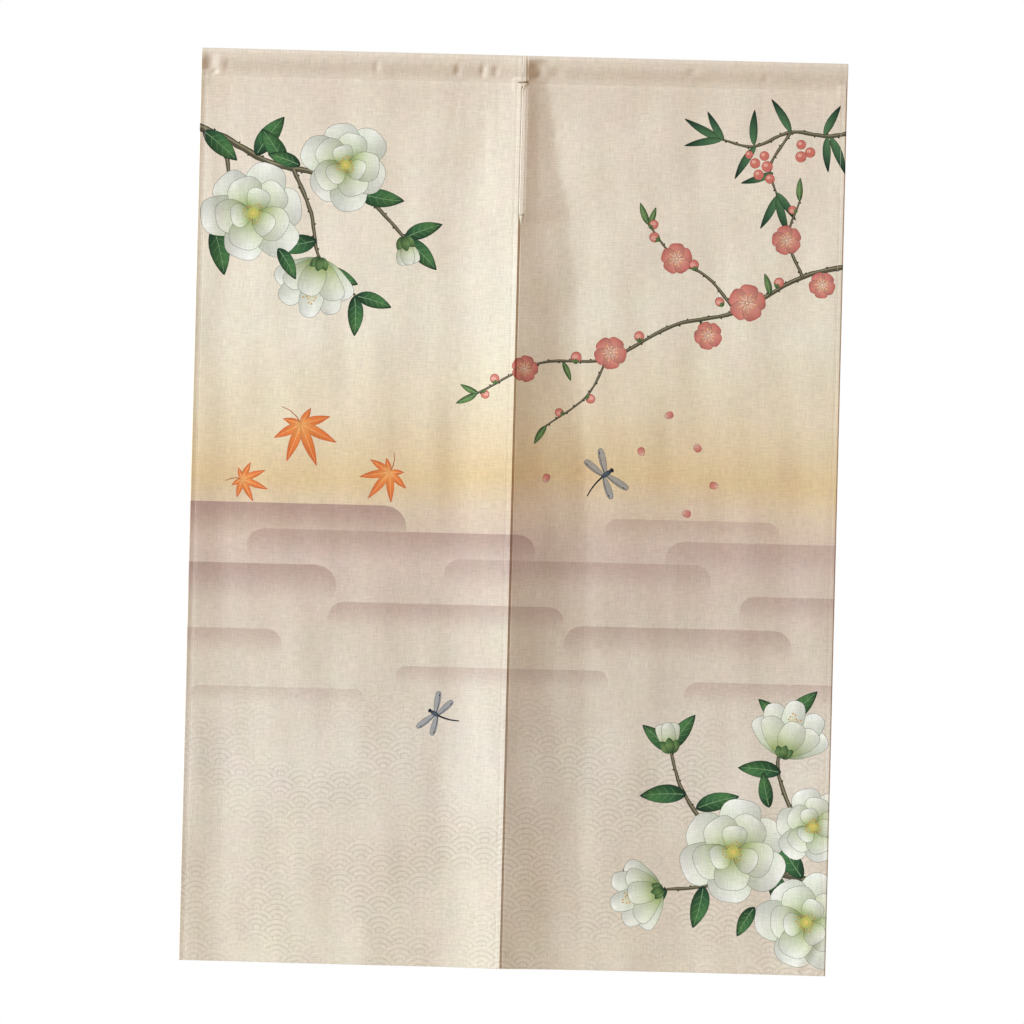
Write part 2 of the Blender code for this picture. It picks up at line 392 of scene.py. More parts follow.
def bladePoints(blade, t, across):
    # Print coordinates of places on a blade, with across in millimetres from its bent midrib
    sway = blade["bend"] * blade["length"] * t * t
    along = (t * blade["length"])[:, None] * direction(blade["angle"])
    return blade["base"] + along + (sway + across)[:, None] * direction(blade["angle"] - 90)


def bladeOutline(blade):
    t = 0.5 - 0.5 * np.cos(np.linspace(0.0, pi, blade["steps"]))
    half = bladeHalf(blade, t)
    leftSide = bladePoints(blade, t, half)
    rightSide = bladePoints(blade, t[1:-1][::-1], -half[1:-1][::-1])
    return np.vstack((leftSide, rightSide))


def bladePlace(blade, p):
    # The reverse: t along and s across, from -1 to 1, of print coordinates
    offset = p - blade["base"]
    t = offset @ direction(blade["angle"]) / blade["length"]
    kept = np.clip(t, 0.02, 0.98)
    sway = blade["bend"] * blade["length"] * kept * kept
    across = offset @ direction(blade["angle"] - 90) - sway
    return np.clip(t, 0.0, 1.0), np.clip(across / np.maximum(bladeHalf(blade, kept), 0.3), -1.0, 1.0)


def grow(outline, by):
    # The outline moved outward by that many millimetres
    before = np.roll(outline, 1, axis=0)
    after = np.roll(outline, -1, axis=0)
    run = after - before
    out = np.column_stack((run[:, 1], -run[:, 0]))
    out /= np.maximum(np.linalg.norm(out, axis=1, keepdims=True), 1e-9)
    area = np.sum(before[:, 0] * outline[:, 1] - outline[:, 0] * before[:, 1])
    return outline + out * (by if area > 0.0 else -by)


def addRim(blade):
    addMark(grow(bladeOutline(blade), blade["rimWidth"]), blade["rim"])


def fillBlade(blade):
    # Body shaded along and across, then veins
    along = ramp(blade["along"])

    def paint(p):
        t, s = bladePlace(blade, p)
        shade = 1.0 - blade["sideShade"] * ease(0.5 + 0.6 * s) - blade["edgeShade"] * s * s
        return along(t) * shade[:, None]

    addMark(bladeOutline(blade), paint)
    for spread in blade["veins"]:
        t = np.linspace(0.06, blade["veinTo"], 6)
        middle = spread * bladeHalf(blade, t)
        thin = blade["veinWidth"] * np.linspace(1.0, 0.45, 6)
        upper = bladePoints(blade, t, middle + thin)
        lower = bladePoints(blade, t[::-1], (middle - thin)[::-1])
        addMark(np.vstack((upper, lower)), blade["vein"])


def addBlade(base, angle, length, width, bend, look):
    blade = makeBlade(base, angle, length, width, bend, look)
    if blade["rimWidth"]:
        addRim(blade)
    fillBlade(blade)
    return blade


def addDisc(center, radiusX, radiusY, paint, count=14, turn=0.0):
    angle = np.linspace(0.0, 2.0 * pi, count, endpoint=False)
    local = np.column_stack((radiusX * np.cos(angle), radiusY * np.sin(angle)))
    spin = np.array(((cos(turn), -sin(turn)), (sin(turn), cos(turn))))
    addMark(center + local @ spin.T, paint)


def smoothPath(points, steps):
    # A soft curve through the given points, each with its width
    p = np.array(points, dtype=float)
    p = np.vstack((2 * p[0] - p[1], p, 2 * p[-1] - p[-2]))
    t = np.linspace(0.0, 1.0, steps, endpoint=False)[:, None]
    parts = []
    for a, b, c, d in zip(p, p[1:], p[2:], p[3:]):
        square = (2 * a - 5 * b + 4 * c - d) * t**2
        cube = (3 * b - a - 3 * c + d) * t**3
        parts.append(0.5 * (2 * b + (c - a) * t + square + cube))
    return np.vstack(parts + [p[-2:-1]])


def addStrip(path, paint, knots=0.0):
    # path holds x, v and width; knots makes it uneven, as bark is
    run = np.gradient(path[:, :2], axis=0)
    side = np.column_stack((-run[:, 1], run[:, 0]))
    side /= np.linalg.norm(side, axis=1, keepdims=True)
    count = np.arange(len(path))
    leftHalf = 0.5 * path[:, 2] * (1.0 + knots * np.sin(2.3 * count))
    rightHalf = 0.5 * path[:, 2] * (1.0 + knots * np.sin(1.7 * count + 2.0))
    leftSide = path[:, :2] + side * leftHalf[:, None]
    rightSide = path[:, :2] - side * rightHalf[:, None]
    addMark(np.vstack((leftSide, rightSide[::-1])), paint)


twigLook = {
    "steps": 7,
    "bud": "#26261d",
    # colour, widening, share of the width, share that it lies higher, knots
    "strips": [
        ("#2e2d22", 0.9, 1.0, 0.0, 0.16),
        ("#57513f", 0.0, 1.0, 0.0, 0.16),
        ("#8c8468", 0.0, 0.30, 0.20, 0.3),
    ],
}


def addTwig(points, budEvery=2.4, seed=0.0):
    path = smoothPath(points, twigLook["steps"])
    x, v, width = path.T
    for color, wider, share, higher, knots in twigLook["strips"]:
        addStrip(np.column_stack((x, v - higher * width, width * share + wider)), color, knots)
    # Small dark buds stand on both sides of the young wood
    gap = 7.0 * budEvery
    length = np.concatenate(([0.0], np.cumsum(np.linalg.norm(np.diff(path[:, :2], axis=0), axis=1))))
    for number, place in enumerate(np.arange(0.5 * gap, length[-1], gap)):
        here = np.array([np.interp(place, length, path[:, k]) for k in range(3)])
        ahead = np.array([np.interp(place + 1.0, length, path[:, k]) for k in range(2)])
        run = (ahead - here[:2]) / max(np.linalg.norm(ahead - here[:2]), 1e-6)
        side = np.array((-run[1], run[0])) * (1 if number % 2 else -1)
        spot = here[:2] + side * (0.5 * here[2] + 0.7) + run * sin(3.0 * number + seed)
        addDisc(spot, 1.5, 1.0, twigLook["bud"], 8, sin(number + seed))


leafLook = {
    **bladeLook,
    "shape": (0.72, 0.95),
    "steps": 13,
    "along": [(0.0, "#1c3a2a"), (0.35, "#3c6b41"), (0.75, "#4f8049"), (1.0, "#20432f")],
    "sideShade": 0.42,
    "edgeShade": 0.20,
    "rim": "#17291d",
    "veins": (0.0,),
    "veinTo": 0.93,
    "veinWidth": 0.38,
    "vein": "#8fae7e",
    "sideVeins": (0.22, 0.38, 0.54, 0.70),
    "sideVein": "#6f965f",
}
youngLeafLook = {
    **leafLook,
    "along": [(0.0, "#3a5c36"), (0.5, "#78995a"), (1.0, "#4c7446")],
    "rim": "#2c4429",
}
calyxLook = {**youngLeafLook, "shape": (0.6, 0.8), "steps": 8, "veins": ()}


def addLeaf(base, angle, length, width, bend, look=leafLook):
    blade = addBlade(base, angle, length, width, bend, look)
    if length < 30:
        return
    # Side veins run from the midrib toward the edge
    for t in look["sideVeins"]:
        for sign in (-1.0, 1.0):
            reach = np.array((t, t + 0.07, t + 0.13))
            spread = sign * bladeHalf(blade, reach) * np.array((0.0, 0.42, 0.78))
            line = bladePoints(blade, reach, spread)
            addStrip(np.column_stack((line, (0.5, 0.4, 0.25))), look["sideVein"])


petalLook = {
    **bladeLook,
    "shape": (0.60, 0.36),
    "ruffle": 0.035,
    "steps": 14,
    "along": [(0.0, "#6c8452"), (0.18, "#a5b888"), (0.45, "#d5ddc4"), (0.78, "#edefe1"), (1.0, "#f7f6ee")],
    "sideShade": 0.24,
    "edgeShade": 0.06,
    "rim": "#6f7466",
    "veins": (-0.55, -0.2, 0.2, 0.55),
    "veinTo": 0.72,
    "veinWidth": 0.18,
    "vein": "#bcc6a8",
}
innerPetalLook = {
    **petalLook,
    "along": [(0.0, "#6b8343"), (0.25, "#a9b97a"), (0.58, "#dbe1c4"), (1.0, "#f2f2e6")],
    "veins": (-0.35, 0.0, 0.35),
}
stamenLook = {"thread": "#d9c069", "tip": "#c98f35", "heart": "#a9b45c"}


def addStamens(center, reach, count, angle, fan):
    for k in range(count):
        turn = angle + fan * ((k + 0.5) / count - 0.5)
        tip = center + direction(turn) * reach * (0.82 + 0.18 * sin(5.0 * k))
        middle = blend(center, tip, 0.5)
        addStrip(np.array(((*center, 0.9), (*middle, 0.7), (*tip, 0.5))), stamenLook["thread"])
        addDisc(tip, 1.25, 1.0, stamenLook["tip"], 8)


# petals in each ring, their length and width as shares of the flower's width, their look
camelliaRings = [
    (6, 0.50, 0.42, petalLook),
    (5, 0.37, 0.35, innerPetalLook),
    (3, 0.23, 0.24, innerPetalLook),
]


def addCamellia(center, across, turn):
    # Seen from the front: three rings of round petals about a boss of stamens
    for ring, (count, length, width, look) in enumerate(camelliaRings):
        for k in range(count):
            angle = turn + 360.0 * k / count + 31.0 * ring + 5.0 * sin(4.0 * k + turn)
            stretch = 1.0 + 0.06 * sin(3.0 * k + ring + turn)
            root = center + direction(angle) * across * 0.015
            addBlade(root, angle, across * length * stretch, across * width, 0.05 * sin(k + turn), look)
    addDisc(center, 0.062 * across, 0.058 * across, stamenLook["heart"], 16)
    addStamens(center, 0.105 * across, 15, turn, 360.0)


def addHalfOpen(base, angle, length):
    # Seen from the side: back petals, then front ones closing over them, and a small green cup
    backPetals = ((-46, 0.86, 0.44), (46, 0.84, 0.44), (-24, 1.0, 0.46), (25, 0.98, 0.46), (2, 1.04, 0.42))
    for off, long, wide in backPetals:
        addBlade(base, angle + off, length * long, length * wide, -0.0020 * off, petalLook)
    addStamens(base + direction(angle) * length * 0.5, length * 0.30, 7, angle, 70.0)
    frontPetals = ((-31, 0.74, 0.44), (30, 0.76, 0.44), (-6, 0.66, 0.46))
    for off, long, wide in frontPetals:
        addBlade(base, angle + off, length * long, length * wide, -0.0045 * off, innerPetalLook)
    addCup(base, angle, 0.24 * length)


def addCup(base, angle, length):
    for off in (-38, 38, 0):
        root = base - direction(angle) * 0.18 * length
        addBlade(root, angle + off, length, 0.62 * length, 0.0, calyxLook)


def addFatBud(base, angle, length):
    for off in (-13, 14, 0):
        addBlade(base, angle + off, length, 0.50 * length, -0.004 * off, innerPetalLook)
    addCup(base, angle, 0.55 * length)


blossomLook = {
    **bladeLook,
    "shape": (0.5, 0.30),
    "steps": 10,
    "along": [(0.0, "#f0cdb6"), (0.35, "#e09c8b"), (0.8, "#d8867a"), (1.0, "#cf7268")],
    "sideShade": 0.16,
    "edgeShade": 0.14,
    "rim": "#9a4a43",
    "rimWidth": 0.45,
    "heart": "#b5674f",
    "thread": "#f4dfc4",
    "anther": "#f2c873",
}


def addPlumBlossom(center, across, turn):
    for k in range(5):
        addBlade(center, turn + 72.0 * k, 0.5 * across, 0.50 * across, 0.0, blossomLook)
    addDisc(center, 0.08 * across, 0.08 * across, blossomLook["heart"], 10)
    for k in range(10):
        tip = center + direction(turn + 36.0 * k + 18.0) * across * (0.20 + 0.05 * (k % 2))
        filament = np.array(((*center, 0.5), (*blend(center, tip, 0.5), 0.45), (*tip, 0.4)))
        addStrip(filament, blossomLook["thread"])
        addDisc(tip, 0.9, 0.9, blossomLook["anther"], 7)


plumBudLook = {"rim": "#9a4a43", "body": "#d17d70", "lit": "#e5a597"}
sepalLook = {**calyxLook, "rimWidth": 0.0, "steps": 6}


def addPlumBud(base, angle, across):
    middle = base + direction(angle) * 0.5 * across
    addDisc(middle, 0.56 * across, 0.52 * across, plumBudLook["rim"], 12, radians(-angle))
    addDisc(middle, 0.50 * across, 0.46 * across, plumBudLook["body"], 12, radians(-angle))
    lit = middle + direction(angle + 70) * 0.12 * across
    addDisc(lit, 0.30 * across, 0.22 * across, plumBudLook["lit"], 10)
    root = base - direction(angle) * 0.1 * across
    for off in (-40, 40, 0):
        addBlade(root, angle + off, 0.5 * across, 0.28 * across, 0.0, sepalLook)


mapleLook = {
    **bladeLook,
    "shape": (0.75, 1.15),
    "along": [(0.0, "#f0a75f"), (0.4, "#ea8543"), (1.0, "#dd6a35")],
    "sideShade": 0.12,
    "edgeShade": 0.10,
    "rim": "#b9532b",
    "veins": (0.0,),
    "veinTo": 0.9,
    "veinWidth": 0.3,
    "vein": "#f6c78c",
    "stem": "#a2562f",
    # angle from the middle lobe, length, width
    "lobes": [(128, 0.42, 0.15), (84, 0.68, 0.20), (42, 0.90, 0.22), (0, 1.0, 0.23)],
}


def addMapleLeaf(center, size, angle):
    stem = [(*(center - direction(angle + 9 * k) * size * 0.20 * k), 1.5 - 0.2 * k) for k in range(4)]
    addStrip(np.array(stem), mapleLook["stem"])
    blades = []
    for off, long, wide in mapleLook["lobes"]:
        for turn in sorted({angle - off, angle + off}):
            blades.append(makeBlade(center, turn, size * long, size * wide, 0.0, mapleLook))
    for add in (addRim, fillBlade):
        for blade in blades:
            add(blade)


dragonflyLook = {
    **bladeLook,
    "shape": (0.5, 0.5),
    "steps": 9,
    "along": [(0.0, "#3c444e"), (0.5, "#56616d"), (1.0, "#2d333b")],
    "sideShade": 0.2,
    "edgeShade": 0.1,
    "rim": "#1f242a",
    "rimWidth": 0.35,
    "membrane": "#66788a",
    "veil": 0.62,
    "edgeVein": "#39434d",
    # angle from the head, reach and place of the root behind the centre, as shares of the length
    "wings": [(68, 0.60, 0.0), (-68, 0.60, 0.0), (106, 0.55, 0.06), (-106, 0.55, 0.06)],
}
wingLook = {**dragonflyLook, "shape": (0.55, 0.30), "steps": 12, "rimWidth": 0.4}


def addDragonfly(center, size, angle):
    tail = [(*(center - direction(angle + 3 * k) * size * 0.13 * k), 2.6 - 0.2 * k) for k in range(6)]

    def membranePaint(p):
        return blend(groundPaint(p), linear(dragonflyLook["membrane"]), dragonflyLook["veil"])

    for off, reach, back in dragonflyLook["wings"]:
        root = center - direction(angle) * size * back
        wing = makeBlade(root, angle + off, size * reach, size * 0.15, 0.0, wingLook)
        addRim(wing)
        addMark(bladeOutline(wing), membranePaint)
        side = 1.0 if off < 0 else -1.0
        t = np.linspace(0.04, 0.96, 8)
        half = bladeHalf(wing, t)
        edge = bladePoints(wing, t, 0.62 * side * half)
        addStrip(np.column_stack((edge, np.linspace(1.0, 0.6, 8))), dragonflyLook["edgeVein"])
        spot = bladePoints(wing, np.array([0.84]), 0.5 * side * half[6:7])[0]
        addDisc(spot, 1.5, 0.8, dragonflyLook["rim"], 8, radians(-angle - off))
    addStrip(np.array(tail), dragonflyLook["rim"])
    tailEnd = center - direction(angle) * size * 0.12
    addBlade(tailEnd, angle, size * 0.28, size * 0.10, 0.0, dragonflyLook)
    eyes = center + direction(angle) * size * 0.17
    addDisc(eyes, size * 0.04, size * 0.055, dragonflyLook["rim"], 10, radians(-angle))


def evenly(outline, step):
    # Long sides are given points along them, so that no long thin triangles span the folds
    parts = []
    for a, b in zip(outline, np.roll(outline, -1, axis=0)):
        count = max(1, round(float(np.linalg.norm(b - a)) / step))
        parts.append(a + (b - a) * np.arange(count)[:, None] / count)
    return np.vstack(parts)


mist = {
    "color": "#a8877f",
    "endSteps": 9,
    # xFrom, xTo, v of the upper edge, depth, strength
    "bars": [
        (-560, -140, 596, 58, 0.80), (120, 350, 606, 34, 0.34), (-350, 30, 630, 46, 0.62),
        (200, 560, 634, 52, 0.42), (-90, 262, 664, 44, 0.42), (-560, -230, 676, 56, 0.62),
        (300, 560, 704, 40, 0.44), (-240, 70, 724, 40, 0.46), (70, 370, 748, 48, 0.46),
        (-560, -300, 762, 40, 0.40), (-150, 130, 806, 30, 0.34), (230, 560, 818, 38, 0.36),
        (-420, -190, 838, 26, 0.26),
    ],
}


def addMist():
    # Long rounded bars, deepest in tone along their upper edge and lost in the ground below
    for xFrom, xTo, vTop, depth, strength in mist["bars"]:
        radius = 0.5 * depth
        turn = np.linspace(-0.5 * pi, 0.5 * pi, mist["endSteps"])
        over = radius * np.cos(turn)
        down = radius * np.sin(turn)
        right = np.column_stack((xTo - radius + over, vTop + radius + down))
        left = np.column_stack((xFrom + radius - over, vTop + radius - down))

        def paint(p, vTop=vTop, depth=depth, strength=strength):
            fade = 1.0 - ease((p[:, 1] - vTop) / depth)
            return blend(groundPaint(p), linear(mist["color"]), (strength * fade)[:, None])

        addMark(evenly(np.vstack((right, left)), 6.0), paint)


def drawUpperSpray():
    # Camellias hang in from the upper left
    bough = [(-450, 96, 9), (-392, 118, 8), (-330, 150, 7)]
    bough += [(-262, 164, 6), (-200, 196, 4.5), (-150, 246, 3.2)]
    addTwig(bough, 2.6, 0.5)
    addTwig([(-300, 158, 5), (-276, 214, 4.2), (-262, 276, 3.4), (-214, 322, 2.2)], 2.4, 1.4)
    addTwig([(-392, 118, 5), (-386, 178, 4), (-402, 236, 3)], 2.6, 2.0)
    draw(
        addLeaf,
        (-350, 140, 62, 62, 25, 0.12), (-312, 152, 118, 56, 23, -0.10), (-250, 166, 40, 66, 26, 0.14),
        (-214, 186, -18, 60, 24, -0.16), (-152, 244, 28, 52, 20, 0.12), (-150, 246, -38, 56, 22, 0.10),
        (-268, 250, 196, 60, 25, 0.12), (-258, 286, -30, 50, 20, -0.1), (-214, 322, -8, 48, 19, 0.15),
        (-216, 322, -82, 52, 20, 0.12), (-404, 236, -70, 64, 26, 0.1), (-398, 206, -20, 52, 21, -0.12),
        (-420, 110, -34, 58, 24, 0.1),
    )
    draw(addFatBud, (-152, 246, -78, 34))
    draw(addHalfOpen, (-262, 276, -104, 74))
    draw(addCamellia, (-352, 216, 128, 12), (-232, 150, 112, 40))
    draw(addLeaf, (-318, 262, -52, 46, 18, 0.12), (-292, 152, 154, 44, 18, -0.14))


def drawLowerSpray():
    # And rise again from the lower right
    bough = [(452, 1100, 10), (398, 1076, 8.5), (336, 1058, 7)]
    bough += [(276, 1020, 5.5), (232, 962, 4), (214, 908, 3)]
    addTwig(bough, 2.6, 0.2)
    addTwig([(372, 1068, 6), (378, 1000, 5), (356, 930, 4), (366, 868, 2.6)], 2.4, 1.1)
    addTwig([(330, 1054, 5), (270, 1084, 4), (206, 1092, 3)], 2.4, 0.7)
    draw(
        addLeaf,
        (392, 1072, 128, 60, 25, 0.1), (378, 990, 24, 62, 25, 0.14), (360, 934, 168, 56, 22, -0.12),
        (366, 870, 56, 58, 22, 0.14), (364, 874, 128, 50, 19, -0.12), (250, 984, 24, 58, 23, 0.12),
        (236, 966, 176, 60, 24, -0.12), (214, 908, 64, 56, 21, 0.14), (214, 910, 132, 50, 19, -0.1),
        (206, 1092, 160, 56, 22, 0.12), (214, 1092, -148, 58, 23, -0.1), (262, 1086, -96, 56, 23, 0.12),
        (424, 1090, -118, 64, 26, -0.12), (350, 1066, -62, 60, 24, 0.1),
    )
    draw(addFatBud, (214, 908, 98, 36))
    draw(addHalfOpen, (362, 912, 74, 72), (206, 1092, 196, 66))
    draw(addCamellia, (300, 1040, 134, 25), (398, 1130, 124, 5), (404, 1004, 96, 50))
    draw(addLeaf, (346, 980, 108, 46, 18, 0.12), (330, 1112, -128, 44, 18, -0.14))


berryLook = {"rim": "#9a4a43", "body": "#cf7769", "lit": "#e8ab9a", "eye": "#5d2a26"}


def addBerry(center, across):
    addDisc(center, 0.5 * across + 0.5, 0.5 * across + 0.5, berryLook["rim"], 12)
    addDisc(center, 0.5 * across, 0.5 * across, berryLook["body"], 12)
    addDisc(center + (-0.14 * across, -0.14 * across), 0.22 * across, 0.18 * across, berryLook["lit"], 9)
    addDisc(center + (0.30 * across, 0.26 * across), 0.7, 0.7, berryLook["eye"], 6)


narrowLeafLook = {
    **leafLook,
    "shape": (0.7, 1.0),
    "steps": 11,
    "along": [(0.0, "#5f8a5c"), (0.45, "#4b7450"), (0.8, "#2c5139"), (1.0, "#132a1e")],
    "sideShade": 0.30,
    "veins": (),
}


def drawCornerSprig():
    # Narrow leaves and berries in the upper right corner
    addTwig([(452, 84, 5.5), (404, 96, 4.6), (352, 92, 3.8), (304, 112, 3), (262, 104, 2)], 2.2, 1.0)
    addTwig([(352, 92, 3.2), (326, 138, 2.6), (336, 176, 1.8)], 2.2, 0.4)
    draw(
        addBlade,
        (262, 104, 158, 56, 10, 0.10), (262, 104, 186, 50, 9, -0.08), (264, 104, 128, 42, 9, 0.12),
        (304, 110, 96, 46, 10, 0.10), (306, 112, 232, 50, 10, -0.12), (336, 176, 250, 48, 10, 0.10),
        (336, 176, 282, 54, 10, -0.10), (335, 172, 312, 44, 9, 0.10), (330, 146, 206, 44, 9, 0.12),
        (352, 92, 116, 50, 10, -0.10), (396, 95, 68, 44, 10, 0.10), (404, 97, 300, 52, 11, 0.12),
        (400, 97, 266, 46, 10, -0.12),
        look=narrowLeafLook,
    )
    draw(
        addBerry,
        (318, 124, 12), (306, 134, 13), (322, 138, 14), (311, 149, 13), (326, 154, 12), (298, 123, 10),
        (366, 108, 12), (378, 118, 13), (366, 124, 14),
    )


def drawPlum():
    # A young plum branch crosses the split from the right
    bough = [(452, 262, 6), (372, 282, 5.2), (286, 330, 4.6), (204, 350, 4)]
    bough += [(118, 396, 3.2), (30, 404, 2.6), (-52, 446, 1.8)]
    addTwig(bough, 2.0, 0.9)
    addTwig([(286, 330, 3.6), (248, 286, 3), (204, 262, 2.4), (168, 218, 1.6)], 2.0, 2.2)
    addTwig([(118, 396, 2.6), (92, 446, 2), (40, 486, 1.5)], 2.0, 0.3)
    addTwig([(372, 282, 3.4), (352, 232, 2.6), (366, 182, 1.6)], 2.0, 1.7)
    draw(
        addLeaf,
        (168, 218, 118, 30, 8, 0.1), (168, 220, 64, 26, 7, -0.1), (-52, 446, 212, 30, 8, 0.1),
        (-50, 446, 160, 26, 7, 0.1), (40, 486, 232, 28, 8, -0.1), (366, 182, 96, 30, 8, 0.1),
        (60, 402, -60, 26, 7, 0.1), (240, 344, -70, 30, 9, 0.1), (330, 306, 100, 28, 8, -0.1),
        look=youngLeafLook,
    )
    draw(
        addPlumBlossom,
        (300, 318, 48, 10), (250, 362, 36, 44), (206, 262, 40, 20), (122, 388, 42, 60),
        (10, 412, 34, 5), (350, 234, 38, 32), (398, 292, 34, 50),
    )
    draw(
        addPlumBud,
        (170, 222, 40, 12), (182, 238, 150, 13), (230, 276, 100, 13), (160, 372, 96, 13),
        (76, 402, 80, 14), (92, 446, -30, 12), (62, 470, 160, 11), (-28, 432, 100, 12),
        (-44, 442, -60, 11), (362, 196, 160, 11), (268, 322, 130, 12), (338, 296, 60, 13),
    )


fallenPetalLook = {**blossomLook, "shape": (0.5, 0.35), "steps": 9}


def drawFalling():
    draw(addMapleLeaf, (-282, 492, 58, -68), (-164, 552, 44, -128), (-358, 566, 36, -20))
    draw(addDragonfly, (120, 548, 58, 36), (-96, 868, 50, 150))
    # Petals drift down from the plum
    draw(
        addBlade,
        (196, 470, 20, 11, 9, 0.0), (236, 506, -50, 11, 9, 0.0), (168, 522, 110, 11, 9, 0.0),
        (268, 560, 170, 11, 9, 0.0), (40, 560, 70, 11, 9, 0.0), (222, 596, -10, 11, 9, 0.0),
        look=fallenPetalLook,
    )


addMist()
drawFalling()
drawCornerSprig()
drawPlum()
drawUpperSpray()
drawLowerSpray()
print("stage: print drawn,", len(marks), "marks")


# The cloth's flat mesh, cut along every mark so that the print has clean edges
def spread(start, end, step):
    return list(np.linspace(start, end, max(1, round((end - start) / step)), endpoint=False))


def gridLines(half):
    radius = cloth["bendRadius"]
    turn = pi * radius
    hemStitch = cloth["sideHem"] - cloth["sideStitchIn"]
    columns = set()
    for edge, sign in ((half["turnLeft"], -1.0), (half["turnRight"], 1.0)):
        columns |= {edge + sign * turn * k / 4 for k in range(5)}
        columns |= {edge - sign * (hemStitch - radius + 0.0011 * k) for k in range(-2, 3)}
        columns |= {edge - sign * off for off in (0.0007, 0.0014)}
    if half["isRight"]:
        groove = splitX + hang["joinGroove"]["offset"]
        columns |= {groove + 0.0009 * k for k in range(-2, 3)}
        columns |= {splitX - 0.0004 + 0.0003 * k for k in range(6)}
        columns |= {splitX + off for off in (0.0017, 0.0023, 0.0029, 0.0038)}
    columns = sorted(columns | {half["flatLeft"], half["flatRight"]})
    rows = {half["flatTop"], half["flatBottom"], 0.0}
    rows |= {half["turnBottom"] + turn * k / 4 for k in range(5)}
    bottom = half["turnBottom"] - cloth["bottomHem"] + cloth["bottomStitchIn"]
    rows |= {bottom + off for off in (-0.0018, 0.0, 0.0018)}
    quarterTurn = 0.25 * pi * cloth["pocketDepth"]
    for sign in (-1, 1):
        rows |= {sign * seamLength - 0.0037 + 0.0011 * k for k in range(5)}
        rows |= {sign * quarterTurn * k / 6 for k in range(7)}
    rows |= set(spread(quarterTurn, seamLength - 0.0037, cloth["headingStep"]))
    return columns, sorted(rows)


def filled(lines, step):
    places = []
    for start, end in zip(lines, lines[1:]):
        places += spread(start, end, step)
    return np.array(places + [lines[-1]])


def insidePolygon(points, outline):
    x, y = points[:, 0], points[:, 1]
    inside = np.zeros(len(points), dtype=bool)
    for (x0, y0), (x1, y1) in zip(outline, np.roll(outline, -1, axis=0)):
        if y0 == y1:
            continue
        crosses = (y0 > y) != (y1 > y)
        inside ^= crosses & (x < (x1 - x0) * (y - y0) / (y1 - y0) + x0)
    return inside


def sidesOf(triangles):
    return np.vstack((triangles[:, (0, 1)], triangles[:, (1, 2)], triangles[:, (2, 0)]))


def doubleArea(corner):
    run = corner[:, 1] - corner[:, 0]
    rise = corner[:, 2] - corner[:, 0]
    return run[:, 0] * rise[:, 1] - run[:, 1] * rise[:, 0]


def cutFlat(points, edges, near, low, high):
    # Triangles between low and high, each with the mark that lies on top there
    found, _, faces, _, _, _ = delaunay_2d_cdt([Vector(p) for p in points], edges, [], 0, 0.002, False)
    flatPoints = np.array([tuple(p) for p in found])
    triangles = np.array(faces)
    corner = flatPoints[triangles]
    middle = corner.mean(axis=1)
    inside = ((middle > low) & (middle < high)).all(axis=1) & (np.abs(doubleArea(corner)) > 1e-7)
    triangles = triangles[inside]
    middle = middle[inside]
    owner = np.full(len(triangles), -1)
    for k in near:
        line = marks[k][0]
        close = np.nonzero(((middle > line.min(0)) & (middle < line.max(0))).all(axis=1))[0]
        hit = insidePolygon(middle[close], line)
        owner[close[hit]] = k
    return flatPoints, triangles, owner


def flatMesh(half):
    # Millimetres in the print's own coordinates; returns points, triangles and each one's mark
    columns, rows = gridLines(half)
    xs = filled(columns, cloth["gridStep"]) / millimetre
    vs = filled([row - pocketSlackCloth for row in rows], cloth["gridStep"]) / millimetre
    grid = [(float(x), float(v)) for v in vs for x in xs]
    across, down = len(xs), len(vs)
    # Lines along the turns and hems are kept whole, so that the cloth bends cleanly there
    folds = []
    for column in columns:
        c = int(np.argmin(np.abs(xs - column / millimetre)))
        folds += [(r * across + c, (r + 1) * across + c) for r in range(down - 1)]
    for row in rows:
        r = int(np.argmin(np.abs(vs - (row - pocketSlackCloth) / millimetre)))
        folds += [(r * across + c, r * across + c + 1) for c in range(across - 1)]
    low = np.array((xs[0], vs[0]))
    high = np.array((xs[-1], vs[-1]))
    near = []
    points = list(grid)
    edges = list(folds)
    for k, (line, _) in enumerate(marks):
        if (line.max(0) > low).all() and (line.min(0) < high).all():
            near.append(k)
            first = len(points)
            points += [(float(x), float(v)) for x, v in line]
            edges += [(first + n, first + (n + 1) % len(line)) for n in range(len(line))]
    flatPoints, triangles, owner = cutFlat(points, edges, near, low, high)
    # Cut again along only those outlines that show, and not where a later mark covers them
    sides = np.sort(sidesOf(triangles), axis=1)
    sideOwner = np.tile(owner, 3)
    pairs, which, share = np.unique(sides, axis=0, return_inverse=True, return_counts=True)
    total = np.bincount(which.ravel(), sideOwner)
    square = np.bincount(which.ravel(), sideOwner.astype(float) ** 2)
    shown = pairs[(share == 2) & (np.abs(2.0 * square - total**2) > 0.5)]
    points = grid + [tuple(p) for p in flatPoints[shown].reshape(-1, 2).tolist()]
    edges = folds + [(len(grid) + 2 * n, len(grid) + 2 * n + 1) for n in range(len(shown))]
    flatPoints, triangles, owner = cutFlat(points, edges, near, low, high)
    used, triangles = np.unique(triangles, return_inverse=True)
    return flatPoints[used], triangles.reshape(-1, 3), owner


def paintCorners(flatPoints, triangles, owner):
    # The alpha is 1 on the ground and the mist, which are the places where the waves show
    corner = flatPoints[triangles].reshape(-1, 2)
    colors = groundPaint(corner)
    cornerOwner = np.repeat(owner, 3)
    isGround = cornerOwner < len(mist["bars"])
    order = np.argsort(cornerOwner, kind="stable")
    marksHere, starts = np.unique(cornerOwner[order], return_index=True)
    for mark, group in zip(marksHere, np.split(order, starts[1:])):
        if mark >= 0:
            colors[group] = marks[mark][1](corner[group])
    return np.clip(np.column_stack((colors, isGround)), 0.0, 1.0)


